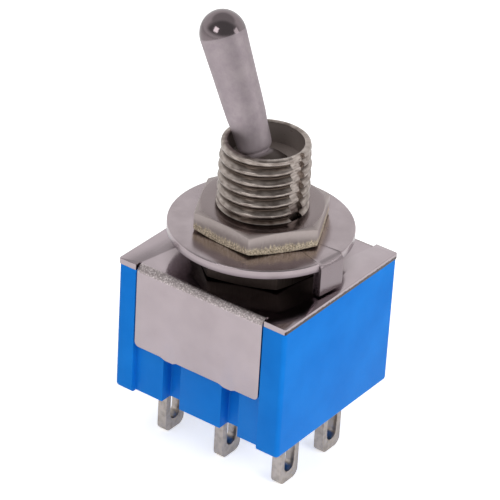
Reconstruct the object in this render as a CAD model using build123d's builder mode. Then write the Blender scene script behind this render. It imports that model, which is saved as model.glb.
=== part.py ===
from build123d import *
from math import atan2, cos, degrees, pi, radians, sin, sqrt, tan
import os

# Miniature two-pole toggle switch for a round panel hole.
# X runs along the rows of three lugs, the stamped flaps face -Y and +Y, and Z points up the lever.
# The origin is on the bushing's axis, at the bracket's upper face. Lengths are in millimetres.

# Moulded case
case_length = 13.2
case_width = 12.4
case_depth = 9.8
case_corner_radius = 0.7
case_foot_radius = 0.3
end_wall = 1.2
cavity_width = 9.2
pole_well_width = 7.8
floor_thickness = 2.2
rail_clearance = 0.05
partition_thickness = 0.8
partition_clearance = 0.35
slot_width = 1.4
slot_depth = 0.9
slot_top_depth = 4.6
slot_corner_radius = 0.1

# Folded sheet bracket
sheet = 0.4
pillar_width = 1.65
flap_offset = -0.15
flap_drop = 6.05
flap_corner_radius = 0.35
flap_side_gap = 0.1
bend_radius = 0.5
relief_width = 0.12
plate_corner_radius = 0.15
stake_height = 0.8
stake_width = 0.9
stake_reach = 0.4

# Threaded bushing
thread_radius = 3.0
engaged_radius = 2.75
engaged_margin = 0.15
thread_pitch = 0.75
thread_depth = 0.27
groove_mouth = 0.5
groove_root = 0.12
groove_overrun = 0.1
rim_band = 0.5
bushing_height = 8.5
rim_chamfer = 0.22
mouth_radius = 2.45
mouth_depth = 0.45
throat_radius = 1.6
bore_radius = 2.2
flange_radius = 3.9
flange_thickness = 0.6
keyway_width = 1.0
keyway_depth = 0.4
keyway_angle = -7.0
seat_clearance = 0.05

# Lever
throw_angle = 23.0
pivot_height = 5.75
ball_radius = 1.95
neck_radius = 0.85
neck_end = 2.1
handle_base_radius = 1.15
handle_base = 2.7
handle_tip_radius = 1.46
dome_base = 10.15
dome_height = 1.12
dome_shoulder_radius = 0.8
tail_radius = 0.3
tail_reach = 2.9
tail_ball_radius = 0.45

# Cross pin that carries the lever's ball
pin_radius = 0.4
pin_length = 4.5
pin_clearance = 0.05

# Sliding actuator with its fork
actuator_length = 5.8
actuator_top = 1.3
actuator_depth_share = 11 / 19
actuator_side_clearance = 0.05
actuator_chamfer = 0.3
fork_wall = 0.35
fork_width = 1.0
fork_clearance = 0.05
fork_top = 3.35
post_top = 2.2
pole_pitch = 4.8

# Sprung plungers
plunger_radius = 0.9
plunger_clearance = 0.05
plunger_well_roof = 0.7
plunger_share = 11 / 24
plunger_gap = 0.1
plunger_nose_height = 0.6
plunger_nose_radius = 0.35
spigot_radius = 0.42
spigot_height = 0.5
spring_wire = 0.22
spring_radius = 0.67
spring_turns = 2.5

# Rocking contacts
rocker_angle = 7.0
rocker_overhang = 0.25
rocker_width = 1.8
rocker_thickness = 0.4
rocker_depth_share = 31 / 38
contact_gap = 0.05
rocker_corner_radius = 0.3
bead_radius = 0.2
bead_clearance = 0.05

# Solder lugs
lug_end_gap = 0.35
lug_thickness = 0.7
lug_width = 2.0
lug_length = 4.3
lug_corner_radius = 0.55
lug_fit = 0.02
eye_width = 1.05
eye_length = 2.6
eye_edge = 0.75
cradle_ear = 0.35
cradle_side_clearance = 0.05
cradle_rise = 0.7
pad_length = 1.6
pad_thickness = 0.5
pad_width = 1.8

# Nuts and the lock ring between them
hex_sides = 6
nut_flats = 8.0
nut_chamfer = 0.15
thread_fit = 0.02
lower_nut_height = 1.9
lower_nut_angle = -40.0
upper_nut_height = 1.5
upper_nut_angle = -4.0
ring_setback = 0.2
ring_thickness = 0.6
ring_fit = 0.1
tongue_width = 0.8
tongue_reach = 0.35
tab_width = 2.1
tab_overhang = 0.2
tab_foot_gap = 0.15
tab_bend_radius = 0.5

# Values worked out from the sizes above
flap_width = case_length - 2 * pillar_width
lug_pitch = case_length / 2 - end_wall - lug_end_gap - lug_thickness / 2
slot_pitch = lug_pitch
lug_tip_depth = case_depth + lug_length
rocker_reach = lug_pitch + rocker_overhang
inner_depth = case_depth - floor_thickness
rocker_seat_depth = inner_depth * rocker_depth_share
actuator_bottom = inner_depth * actuator_depth_share
rail_depth = actuator_bottom + rail_clearance
plunger_well = actuator_bottom - actuator_top - plunger_well_roof
plunger_shoulder = actuator_bottom - plunger_well * plunger_share
plunger_tip = rocker_seat_depth - rocker_thickness - plunger_gap
ring_radius = case_width / 2 - ring_setback
tab_reach = ring_radius + tab_overhang
flap_back = case_width / 2 - bend_radius
floor_level = floor_thickness - case_depth
seat_radius = ball_radius + seat_clearance
throat_level = pivot_height + sqrt(seat_radius**2 - throat_radius**2)
tail_throw = tail_reach * sin(radians(throw_angle))
pole_offsets = {"front": -pole_pitch / 2, "rear": pole_pitch / 2}
lug_offsets = {"left": -lug_pitch, "center": 0, "right": lug_pitch}
contact_level = -rocker_seat_depth - contact_gap
ring_base = lower_nut_height
upper_nut_base = ring_base + ring_thickness
free_thread_base = upper_nut_base + upper_nut_height + engaged_margin
keyway_frame = Plane.XY.rotated((0, 0, keyway_angle))

os.makedirs("parts", exist_ok=True)


def finish(builder, name):
    """Label a piece and write it to its own file."""
    builder.part.label = name
    export_step(builder.part, f"parts/{name}.step")
    print(name, len(builder.part.solids()), round(builder.part.volume, 3))


# Case: a rounded block with flap recesses, staking slots, a stepped well for two poles and lug slits
with BuildPart() as housing:
    with BuildSketch(Plane.XY.offset(-case_depth)):
        RectangleRounded(case_length, case_width, case_corner_radius)
    extrude(amount=case_depth - sheet)
    fillet(housing.faces().sort_by(Axis.Z)[0].edges(), case_foot_radius)
    with BuildSketch(Plane.XY.offset(-sheet)):
        with Locations((flap_offset, -case_width / 2), (flap_offset, case_width / 2)):
            Rectangle(flap_width + 2 * flap_side_gap, case_width - 2 * flap_back)
    extrude(amount=-case_depth, mode=Mode.SUBTRACT)
    with BuildSketch(Plane.XY.offset(-slot_top_depth)):
        with GridLocations(slot_pitch, 2 * flap_back, 2, 2):
            RectangleRounded(slot_width, 2 * slot_depth, slot_corner_radius)
    extrude(amount=-case_depth, mode=Mode.SUBTRACT)
    with BuildSketch(Plane.XY.offset(-sheet)):
        Rectangle(case_length - 2 * end_wall, cavity_width)
    extrude(amount=sheet - rail_depth, mode=Mode.SUBTRACT)
    with BuildSketch(Plane.XY.offset(-rail_depth)):
        Rectangle(case_length - 2 * end_wall, pole_well_width)
    extrude(amount=rail_depth + floor_level, mode=Mode.SUBTRACT)
    with BuildSketch(Plane.XY.offset(floor_level)):
        Rectangle(case_length - 2 * end_wall, partition_thickness)
    extrude(amount=-floor_level - actuator_bottom - partition_clearance)
    with BuildSketch(Plane.XY.offset(floor_level)):
        with GridLocations(lug_pitch, pole_pitch, len(lug_offsets), len(pole_offsets)):
            Rectangle(lug_thickness + 2 * lug_fit, lug_width + 2 * lug_fit)
    extrude(amount=-case_depth, mode=Mode.SUBTRACT)
finish(housing, "housing")

# Bracket: a flat plate whose front and rear flaps fold down over the case and are staked into its slots
with BuildPart() as bracket:
    with BuildSketch(Plane.YZ.offset(flap_offset)):
        with BuildLine() as outer_face:
            FilletPolyline(
                (-case_width / 2, -flap_drop),
                (-case_width / 2, 0),
                (case_width / 2, 0),
                (case_width / 2, -flap_drop),
                radius=bend_radius,
            )
            offset(amount=-sheet, side=Side.RIGHT)
        make_face()
    extrude(amount=flap_width / 2, both=True)
    flap_corners = bracket.edges().filter_by(Axis.Y).group_by(Axis.Z)[0]
    fillet(flap_corners, flap_corner_radius)
    with BuildSketch(Plane.XY):
        RectangleRounded(case_length, case_width, plate_corner_radius)
        with Locations((flap_offset, -case_width / 2), (flap_offset, case_width / 2)):
            Rectangle(flap_width + 2 * relief_width, 2 * bend_radius, mode=Mode.SUBTRACT)
    extrude(amount=-sheet)
    with BuildSketch(Plane.XY):
        Circle(engaged_radius + thread_fit)
    extrude(amount=-sheet, mode=Mode.SUBTRACT)
    for inside in (Plane.XZ.offset(case_width / 2 - sheet), Plane.XZ.offset(sheet - case_width / 2)):
        reach = -stake_reach if inside.origin.Y < 0 else stake_reach
        with BuildSketch(inside):
            with Locations(*[(x, -flap_drop) for x in (-slot_pitch / 2, slot_pitch / 2)]):
                Rectangle(stake_width, stake_height, align=(Align.CENTER, Align.MIN))
        extrude(amount=reach)
finish(bracket, "bracket")

# Bushing: one turned profile with the flared mouth, the ball seat and the foot flange, then the keyway.
# Where it is free its thread is drawn as rings of the same pitch; inside the nuts it is plain, at the pitch line.
with BuildPart() as bushing:
    with BuildSketch(Plane.XZ):
        with BuildLine():
            wall = Polyline(
                (bore_radius, -sheet - flange_thickness),
                (flange_radius, -sheet - flange_thickness),
                (flange_radius, -sheet),
                (engaged_radius, -sheet),
                (engaged_radius, free_thread_base),
                (thread_radius, free_thread_base),
                (thread_radius, bushing_height - rim_chamfer),
                (thread_radius - rim_chamfer, bushing_height),
                (mouth_radius, bushing_height),
                (mouth_radius, bushing_height - mouth_depth),
                (throat_radius, throat_level),
            )
            seat = RadiusArc(wall @ 1, (seat_radius, pivot_height), seat_radius)
            Polyline(seat @ 1, (bore_radius, pivot_height), wall @ 0)
        make_face()
    revolve(axis=Axis.Z)
    groove_count = int((bushing_height - rim_band - free_thread_base) / thread_pitch)
    first_groove = free_thread_base + thread_pitch - groove_mouth / 2
    flank_slope = (groove_mouth - groove_root) / thread_depth
    overrun_mouth = groove_mouth + flank_slope * groove_overrun
    with BuildSketch(Plane.XZ):
        with Locations(*[(thread_radius, first_groove + thread_pitch * i) for i in range(groove_count)]):
            Polygon(
                (groove_overrun, -overrun_mouth / 2),
                (groove_overrun, overrun_mouth / 2),
                (-thread_depth, groove_root / 2),
                (-thread_depth, -groove_root / 2),
                align=None,
            )
    revolve(axis=Axis.Z, mode=Mode.SUBTRACT)
    with BuildSketch(keyway_frame):
        with Locations((thread_radius, 0)):
            Rectangle(2 * keyway_depth, keyway_width)
    extrude(amount=bushing_height, mode=Mode.SUBTRACT)
    with BuildSketch(Plane.XZ):
        with Locations((0, pivot_height)):
            Circle(pin_radius + pin_clearance)
        with Locations((0, -sheet - flange_thickness)):
            Rectangle(
                2 * (pin_radius + pin_clearance),
                pivot_height + sheet + flange_thickness,
                align=(Align.CENTER, Align.MIN),
            )
    extrude(amount=pin_length / 2 + pin_clearance, both=True, mode=Mode.SUBTRACT)
finish(bushing, "bushing")

# Lever: a turned bat handle, waisted neck, pivot ball and thin tail, leaning at one end of its throw
lean = radians(throw_angle)
shoulder_offset = handle_tip_radius - dome_shoulder_radius
crown_rise = dome_height - dome_shoulder_radius
crown_drop = (shoulder_offset**2 - crown_rise**2) / (2 * crown_rise)
crown_radius = crown_drop + dome_height
shoulder_turn = degrees(atan2(crown_drop, shoulder_offset))
lever_frame = Plane((0, 0, pivot_height), x_dir=(cos(lean), 0, sin(lean)), z_dir=(0, -1, 0))
lever_axis = Axis((0, 0, pivot_height), (-sin(lean), 0, cos(lean)))
with BuildPart() as lever:
    with BuildSketch(lever_frame):
        with BuildLine():
            tail_end = -tail_reach - tail_ball_radius
            tail_top = sqrt(tail_ball_radius**2 - tail_radius**2) - tail_reach
            ball_low = -sqrt(ball_radius**2 - tail_radius**2)
            ball_high = sqrt(ball_radius**2 - neck_radius**2)
            ThreePointArc((0, tail_end), (tail_ball_radius, -tail_reach), (tail_radius, tail_top))
            Line((tail_radius, tail_top), (tail_radius, ball_low))
            ThreePointArc((tail_radius, ball_low), (ball_radius, 0), (neck_radius, ball_high))
            Polyline(
                (neck_radius, ball_high),
                (neck_radius, neck_end),
                (handle_base_radius, handle_base),
                (handle_tip_radius, dome_base),
            )
            CenterArc((shoulder_offset, dome_base), dome_shoulder_radius, 0, shoulder_turn)
            CenterArc((0, dome_base - crown_drop), crown_radius, shoulder_turn, 90 - shoulder_turn)
            Line((0, dome_base + dome_height), (0, tail_end))
        make_face()
    revolve(axis=lever_axis)
    with BuildSketch(Plane.XZ):
        with Locations((0, pivot_height)):
            Circle(pin_radius)
    extrude(amount=pin_length, both=True, mode=Mode.SUBTRACT)
finish(lever, "lever")

# Cross pin: pressed through the ball, its ends turn in the bushing's two slots
with BuildPart() as pivot_pin:
    with BuildSketch(Plane.XZ):
        with Locations((0, pivot_height)):
            Circle(pin_radius)
    extrude(amount=pin_length / 2, both=True)
finish(pivot_pin, "pivot_pin")

# Actuator: a slider on the case's rails, with a forked post round the lever's tail and two plunger wells
fork_gap = 2 * (tail_ball_radius + fork_clearance)
with BuildPart() as actuator:
    with BuildSketch(Plane.XY.offset(-actuator_bottom)):
        with Locations((tail_throw, 0)):
            Rectangle(actuator_length, cavity_width - 2 * actuator_side_clearance)
    extrude(amount=actuator_bottom - actuator_top)
    chamfer(actuator.edges().filter_by(Axis.Z), actuator_chamfer)
    with BuildSketch(Plane.XY.offset(-actuator_top)):
        with Locations((tail_throw, 0)):
            Rectangle(fork_gap + 2 * fork_wall, fork_width)
    extrude(amount=actuator_top + fork_top)
    with BuildSketch(Plane.XY.offset(post_top)):
        with Locations((tail_throw, 0)):
            Rectangle(fork_gap, 2 * fork_width)
    extrude(amount=fork_top, mode=Mode.SUBTRACT)
    with BuildSketch(Plane.XY.offset(-actuator_bottom)):
        with Locations(*[(tail_throw, y) for y in pole_offsets.values()]):
            Circle(plunger_radius + plunger_clearance)
    extrude(amount=plunger_well, mode=Mode.SUBTRACT)
finish(actuator, "actuator")

# Plungers and their springs: one pair for each pole, inside the actuator's wells
for pole, pole_y in pole_offsets.items():
    with BuildPart() as plunger:
        with BuildSketch(Plane((tail_throw, pole_y, 0), x_dir=(1, 0, 0), z_dir=(0, -1, 0))):
            with BuildLine():
                Polyline(
                    (0, -plunger_tip),
                    (plunger_nose_radius, -plunger_tip),
                    (plunger_radius, plunger_nose_height - plunger_tip),
                    (plunger_radius, -plunger_shoulder),
                    (spigot_radius, -plunger_shoulder),
                    (spigot_radius, spigot_height - plunger_shoulder),
                    (0, spigot_height - plunger_shoulder),
                    close=True,
                )
            make_face()
        revolve(axis=Axis((tail_throw, pole_y, 0), (0, 0, 1)))
    finish(plunger, f"plunger_{pole}")

    spring_room = plunger_shoulder + plunger_well - actuator_bottom - spring_wire
    with BuildPart() as plunger_spring:
        with BuildLine():
            coil = Helix(
                pitch=spring_room / spring_turns,
                height=spring_room,
                radius=spring_radius,
                center=(tail_throw, pole_y, spring_wire / 2 - plunger_shoulder),
            )
        with BuildSketch(Plane(origin=coil @ 0, z_dir=coil % 0)):
            RegularPolygon(spring_wire / 2, hex_sides)
        sweep()
    finish(plunger_spring, f"plunger_spring_{pole}")

# Rockers: shallow bent contacts that seesaw on a round bead in the middle lugs, with the right wing down
fold = radians(2 * rocker_angle)
for pole, pole_y in pole_offsets.items():
    left_tip = (-rocker_reach * cos(fold), rocker_reach * sin(fold))
    with BuildPart() as rocker:
        with BuildSketch(Plane((0, pole_y, -rocker_seat_depth), x_dir=(1, 0, 0), z_dir=(0, -1, 0))):
            with BuildLine():
                Polyline(
                    (0, 0),
                    (rocker_reach, 0),
                    (rocker_reach, rocker_thickness),
                    (rocker_thickness * tan(fold / 2), rocker_thickness),
                    (left_tip[0] + rocker_thickness * sin(fold), left_tip[1] + rocker_thickness * cos(fold)),
                    left_tip,
                    close=True,
                )
            make_face()
            Circle(bead_radius)
        extrude(amount=rocker_width / 2, both=True)
        ends = rocker.faces().sort_by(Axis.X)
        corners = [edge for face in (ends[0], ends[-1]) for edge in face.edges().filter_by(Axis.Y, reverse=True)]
        fillet(corners, rocker_corner_radius)
    finish(rocker, f"rocker_{pole}")

# Solder lugs: slotted blades; the middle ones end in a cradle, the outer ones in a bent contact pad
cradle_half = rocker_width / 2 + cradle_side_clearance
for pole, pole_y in pole_offsets.items():
    for place, lug_x in lug_offsets.items():
        with BuildPart() as lug:
            with BuildSketch(Plane((lug_x, pole_y, 0), x_dir=(0, 1, 0), z_dir=(1, 0, 0))) as blade:
                with Locations((0, -lug_tip_depth)):
                    Rectangle(lug_width, lug_tip_depth + contact_level, align=(Align.CENTER, Align.MIN))
                fillet(blade.vertices().group_by(Axis.Z)[0], lug_corner_radius)
                with Locations((0, eye_edge + eye_length / 2 - lug_tip_depth)):
                    SlotOverall(eye_length, eye_width, rotation=90, mode=Mode.SUBTRACT)
                if place == "center":
                    with Locations((0, floor_level)):
                        Rectangle(
                            2 * (cradle_half + cradle_ear),
                            contact_level + cradle_rise - floor_level,
                            align=(Align.CENTER, Align.MIN),
                        )
                    with Locations((0, contact_level)):
                        Rectangle(
                            2 * cradle_half,
                            2 * cradle_rise,
                            align=(Align.CENTER, Align.MIN),
                            mode=Mode.SUBTRACT,
                        )
            extrude(amount=lug_thickness / 2, both=True)
            if place == "center":
                with BuildSketch(Plane((0, pole_y, -rocker_seat_depth), x_dir=(1, 0, 0), z_dir=(0, -1, 0))):
                    Circle(bead_radius + bead_clearance)
                extrude(amount=lug_width, both=True, mode=Mode.SUBTRACT)
            else:
                outward = lug_x / abs(lug_x)
                pad_middle = lug_x + outward * (lug_thickness - pad_length) / 2
                with BuildSketch(Plane.XY.offset(contact_level)):
                    with Locations((pad_middle, pole_y)):
                        Rectangle(pad_length, pad_width)
                extrude(amount=-pad_thickness)
        finish(lug, f"lug_{pole}_{place}")


def hex_nut(base, height, corner_angle):
    """A hexagon nut with both faces chamfered to a round, bored to slip over the thread."""
    corner_radius = nut_flats / 2 / cos(pi / hex_sides)
    with BuildPart() as nut:
        with BuildSketch(Plane.XY.offset(base)):
            RegularPolygon(corner_radius, hex_sides, rotation=corner_angle)
            Circle(engaged_radius + thread_fit, mode=Mode.SUBTRACT)
        extrude(amount=height)
        with BuildSketch(Plane.XZ):
            with BuildLine():
                Polyline(
                    (0, base),
                    (nut_flats / 2, base),
                    (corner_radius, base + nut_chamfer),
                    (corner_radius, base + height - nut_chamfer),
                    (nut_flats / 2, base + height),
                    (0, base + height),
                    close=True,
                )
            make_face()
        revolve(axis=Axis.Z, mode=Mode.INTERSECT)
    return nut


finish(hex_nut(0, lower_nut_height, lower_nut_angle), "lower_nut")
finish(hex_nut(upper_nut_base, upper_nut_height, upper_nut_angle), "upper_nut")

# Lock ring: a stamped washer with a tongue in the keyway and one tab bent down towards the panel
with BuildPart() as lock_ring:
    with BuildSketch(keyway_frame.offset(ring_base)):
        Circle(ring_radius)
        with Locations((ring_radius - tab_bend_radius, 0)):
            Rectangle(tab_reach - ring_radius + tab_bend_radius, tab_width, align=(Align.MIN, Align.CENTER))
        Circle(thread_radius + ring_fit, mode=Mode.SUBTRACT)
        with Locations((thread_radius - tongue_reach, 0)):
            Rectangle(tongue_reach + 2 * ring_fit, tongue_width, align=(Align.MIN, Align.CENTER))
    extrude(amount=ring_thickness)
    with BuildSketch(keyway_frame.offset(ring_base)):
        with Locations((tab_reach - ring_thickness, 0)):
            Rectangle(ring_thickness, tab_width, align=(Align.MIN, Align.CENTER))
    extrude(amount=tab_foot_gap - ring_base)
    tab_edge = lock_ring.edges().sort_by_distance(keyway_frame.from_local_coords((tab_reach, 0, upper_nut_base)))[0]
    fillet(tab_edge, tab_bend_radius)
finish(lock_ring, "lock_ring")
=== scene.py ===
# %% [markdown]
# # A miniature toggle switch
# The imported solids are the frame: they say where each piece is and what moves. This lesson dresses them.
# Pieces whose fine shape the eye would miss in the solids, such as the thread, are made anew in the same place;
# flat stampings and the moulded case are copies of the solids with their edges broken.

# %% Load the frame
from math import asin, cos, pi, radians, sin, sqrt

import bmesh
import bpy
from mathutils import Matrix, Vector


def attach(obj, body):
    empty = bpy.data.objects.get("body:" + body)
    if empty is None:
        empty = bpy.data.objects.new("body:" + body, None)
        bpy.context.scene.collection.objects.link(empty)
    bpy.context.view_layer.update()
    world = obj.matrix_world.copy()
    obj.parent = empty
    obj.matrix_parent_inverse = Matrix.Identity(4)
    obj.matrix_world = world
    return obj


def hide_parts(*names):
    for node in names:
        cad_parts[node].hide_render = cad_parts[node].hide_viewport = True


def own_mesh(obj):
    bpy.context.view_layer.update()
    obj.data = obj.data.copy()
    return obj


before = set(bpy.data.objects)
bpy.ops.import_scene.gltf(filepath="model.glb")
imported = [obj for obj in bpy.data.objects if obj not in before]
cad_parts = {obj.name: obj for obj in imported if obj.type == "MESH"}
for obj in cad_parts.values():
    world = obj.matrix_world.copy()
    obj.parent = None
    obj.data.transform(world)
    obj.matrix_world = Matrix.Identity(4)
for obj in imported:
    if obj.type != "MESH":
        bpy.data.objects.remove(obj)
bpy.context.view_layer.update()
mm = 0.001

# %% [markdown]
# ## Tools for the bench
# Small helpers serve the whole lesson. One turns a hex colour into the linear numbers that a shader wants.
# One adds a node with its settings and its inputs, where an input is a number or another node's output.
# One starts a material: a Principled shader on an output, with Object coordinates at hand.
# The rest are shorthand for the five nodes that most finishes share: a sum, a fade, a mix of tones, a noise of a
# real size and a colour ramp.


# %% Colour, node and material helpers
def linear(hex_colour):
    """An sRGB hex colour as linear red, green, blue and a full alpha."""
    shares = [int(hex_colour[i:i + 2], 16) / 255 for i in (1, 3, 5)]
    return [c / 12.92 if c <= 0.04045 else ((c + 0.055) / 1.055) ** 2.4 for c in shares] + [1.0]


def add(tree, kind, settings, inputs):
    """Adds a node; each input is linked if it is a socket and set if it is a value."""
    node = tree.nodes.new(kind)
    for name, value in settings.items():
        setattr(node, name, value)
    for key, value in inputs.items():
        if isinstance(value, bpy.types.NodeSocket):
            tree.links.new(value, node.inputs[key])
        else:
            node.inputs[key].default_value = value
    return node


def start_material(name, hex_colour, metallic, roughness):
    """A new material with plain values; returns it, its tree, its shader and Object coordinates."""
    material = bpy.data.materials.new(name)
    material.use_nodes = True
    tree = material.node_tree
    tree.nodes.clear()
    shader = add(tree, "ShaderNodeBsdfPrincipled", {}, {"Metallic": metallic, "Roughness": roughness})
    shader.inputs["Base Color"].default_value = linear(hex_colour)
    add(tree, "ShaderNodeOutputMaterial", {}, {"Surface": shader.outputs["BSDF"]})
    place = add(tree, "ShaderNodeTexCoord", {}, {}).outputs["Object"]
    return material, tree, shader, place


print("white is", linear("#ffffff"))


# %% Shorthand for common nodes
def calc(tree, operation, *values):
    """The result of a Math node on one, two or three values."""
    return add(tree, "ShaderNodeMath", {"operation": operation}, dict(enumerate(values))).outputs[0]


def fade(tree, value, span, result=(0.0, 1.0), smooth=False):
    """The value's way along the span, held at its ends, as a number between the two results."""
    way = "SMOOTHSTEP" if smooth else "LINEAR"
    return add(tree, "ShaderNodeMapRange", {"interpolation_type": way}, {
        "Value": value, "From Min": span[0], "From Max": span[1],
        "To Min": result[0], "To Max": result[1]}).outputs["Result"]


def mix_tones(tree, share, plain, other):
    """A colour between two: plain where the share is 0, other where it is 1."""
    return add(tree, "ShaderNodeMix", {"data_type": "RGBA"}, {"Factor": share, 6: plain, 7: other}).outputs[2]


def noise(tree, place, size, detail, roughness=0.5):
    """Noise whose blobs are about as large as the size, in metres."""
    return add(tree, "ShaderNodeTexNoise", {}, {
        "Vector": place, "Scale": 1 / size, "Detail": detail, "Roughness": roughness}).outputs["Fac"]


def ramp(tree, factor, *stops):
    """A colour ramp through two stops, each a place along the factor and a hex colour."""
    node = add(tree, "ShaderNodeValToRGB", {}, {"Fac": factor})
    for element, (place, tone) in zip(node.color_ramp.elements, stops):
        element.position, element.color = place, linear(tone)
    return node.outputs["Color"]


print("shorthand: calc, fade, mix_tones, noise, ramp")

# %% [markdown]
# ## Blue moulded case
# The case is a glass-filled thermoplastic, moulded in one go. Its skin is satin and nearly even,
# with a fine grit from the mould and a faint cloudiness where the melt met. Noise at those two real sizes does it.

# %% Moulded blue plastic
cloud_size = 3.0 * mm
grit_size = 0.22 * mm

blue_plastic, tree, shader, place = start_material("moulded_blue_thermoplastic", "#1a7cd6", 0.0, 0.4)
clouds = noise(tree, place, cloud_size, 3.0)
tone = ramp(tree, clouds, (0.3, "#0b79da"), (0.7, "#1584e5"))
tree.links.new(tone, shader.inputs["Base Color"])
grit = noise(tree, place, grit_size, 2.0)
skin_gloss = fade(tree, grit, (0.0, 1.0), (0.32, 0.5))
tree.links.new(skin_gloss, shader.inputs["Roughness"])
bump = add(tree, "ShaderNodeBump", {}, {"Height": grit, "Strength": 0.12, "Distance": 0.02 * mm})
tree.links.new(bump.outputs["Normal"], shader.inputs["Normal"])
shader.inputs["Specular IOR Level"].default_value = 0.08
print("made", blue_plastic.name)

# %% [markdown]
# ## Nickel on sheet steel
# The bracket and the lock ring are stamped from sheet and plated with nickel, which is a warm grey, slightly pink.
# The plating follows the rolled sheet, so it mirrors softly, with cloudy patches of more and less gloss and small
# pits. The ring's colour is painted darker towards the bottom of its edge and on its underside, as shade, and its
# bent tab gets a darker colour too, a painted shade.


# %% Plated sheet
def plated_sheet(name, bright, dull, gloss_low, gloss_high):
    """Nickel over rolled steel: patches of gloss, a fine pitted grain and a slight change of tone."""
    patch_size = 1.6 * mm
    pit_size = 0.16 * mm
    material, tree, shader, place = start_material(name, bright, 1.0, gloss_low)
    patches = noise(tree, place, patch_size, 4.0)
    tone = ramp(tree, patches, (0.35, dull), (0.65, bright))
    tree.links.new(tone, shader.inputs["Base Color"])
    gloss = fade(tree, patches, (0.3, 0.7), (gloss_high, gloss_low))
    tree.links.new(gloss, shader.inputs["Roughness"])
    pits = noise(tree, place, pit_size, 3.0)
    bump = add(tree, "ShaderNodeBump", {}, {"Height": pits, "Strength": 0.12, "Distance": 0.02 * mm})
    tree.links.new(bump.outputs["Normal"], shader.inputs["Normal"])
    return material, tree, shader, place, gloss, bump


bracket_nickel, tree, shader, place, gloss, pits_bump = plated_sheet(
    "nickel_on_folded_steel", "#b3a7ab", "#aea2a6", 0.12, 0.16)
ring_nickel, ring_tree, ring_shader, ring_place, _, _ = plated_sheet(
    "satin_nickel_on_stamped_steel", "#b0a4a7", "#a79b9e", 0.2, 0.28)
print("made", bracket_nickel.name, ring_nickel.name)

# %% Painted shade on the lower rim and the bent tab of the ring
rim_shade_foot, rim_shade_top, tab_inside = 1.95 * mm, 2.2 * mm, 6.13 * mm

xyz = add(ring_tree, "ShaderNodeSeparateXYZ", {}, {0: ring_place}).outputs
flat = add(ring_tree, "ShaderNodeCombineXYZ", {}, {"X": xyz["X"], "Y": xyz["Y"]}).outputs[0]
reach = add(ring_tree, "ShaderNodeVectorMath", {"operation": "LENGTH"}, {0: flat}).outputs["Value"]
on_ring = calc(ring_tree, "LESS_THAN", reach, tab_inside)
# The ring's colour is painted darker towards the bottom of its edge and on its underside, as shade.
low = fade(ring_tree, xyz["Z"], (rim_shade_top, rim_shade_foot))
rim_painted_shade = calc(ring_tree, "MULTIPLY", low, on_ring)
sheet_tone = ring_shader.inputs["Base Color"].links[0].from_socket
rim_tone = mix_tones(ring_tree, rim_painted_shade, sheet_tone, linear("#80757a"))
# The bent tab gets a darker colour, a painted shade.
tab_painted_shade = mix_tones(ring_tree, on_ring, linear("#8d8285"), rim_tone)
ring_tree.links.new(tab_painted_shade, ring_shader.inputs["Base Color"])
print("ring finish:", len(ring_tree.nodes), "nodes")

# %% [markdown]
# Three things happen to the bracket's sheet after rolling. Folding it stretches the plating along the bend into a
# coarse, sparkling grain, whose brightest specks are painted glints. A punch pushes the flaps' lower edges a little
# way into the case's slots, which leaves soft dents. The shear leaves the plate's two short edges torn and dark
# below.
# Round the nut, under the ring, the plate's colour is painted dark, as shade.
# All are masks on Object coordinates: the fold's height and depth, the places of the slots, the plate's edge,
# and the distance from the bushing.

# %% Places on the bracket
fold_start, fold_end, fold_foot, fold_fade = 5.72 * mm, 5.84 * mm, 0.5 * mm, 0.12 * mm
flap_middle, flap_half = -0.15 * mm, 4.95 * mm
slot_place, slot_half = 2.35 * mm, 0.7 * mm
dent_top, dent_foot = -4.7 * mm, -6.0 * mm
fold_grain_size, fold_roughness = 0.11 * mm, 0.42
relief_depth = 0.06 * mm
edge_place, shear_line = 6.52 * mm, 0.0 * mm
shear_ragged, shear_fade = 0.3 * mm, 0.06 * mm
shade_reach, shade_full, shade_share = 6.6 * mm, 4.29 * mm, 0.7

xyz = add(tree, "ShaderNodeSeparateXYZ", {}, {0: place}).outputs
sideways = calc(tree, "ABSOLUTE", xyz["X"])
print("fold from", fold_start, "m, film of oil out to", shade_reach, "m")

# %% Fold grain and staking dents
outward = calc(tree, "ABSOLUTE", xyz["Y"])
near_fold = fade(tree, outward, (fold_start, fold_end))
high_enough = fade(tree, xyz["Z"], (-fold_foot, fold_fade - fold_foot))
fold = calc(tree, "MULTIPLY", near_fold, high_enough)
from_middle = calc(tree, "SUBTRACT", xyz["X"], flap_middle)
from_middle = calc(tree, "ABSOLUTE", from_middle)
on_flap = calc(tree, "LESS_THAN", from_middle, flap_half)
fold = calc(tree, "MULTIPLY", fold, on_flap)
fold_grain = noise(tree, place, fold_grain_size, 2.0)
fold_gloss = add(tree, "ShaderNodeMix", {}, {"Factor": fold, 2: gloss, 3: fold_roughness})
tree.links.new(fold_gloss.outputs[0], shader.inputs["Roughness"])
grain_height = calc(tree, "MULTIPLY", fold, fold_grain)
from_slot = calc(tree, "SUBTRACT", sideways, slot_place)
from_slot = calc(tree, "ABSOLUTE", from_slot)
over_slot = fade(tree, from_slot, (slot_half, 0.2 * slot_half), smooth=True)
low_enough = fade(tree, xyz["Z"], (dent_top, dent_foot), smooth=True)
dent = calc(tree, "MULTIPLY", over_slot, low_enough)
dent_bump = add(tree, "ShaderNodeBump", {"invert": True}, {
    "Height": dent, "Strength": 1.0, "Distance": relief_depth, "Normal": pits_bump.outputs["Normal"]})
grain_bump = add(tree, "ShaderNodeBump", {}, {
    "Height": grain_height, "Strength": 0.6, "Distance": relief_depth, "Normal": dent_bump.outputs["Normal"]})
tree.links.new(grain_bump.outputs["Normal"], shader.inputs["Normal"])
print("bracket relief:", len(tree.nodes), "nodes")
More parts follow.
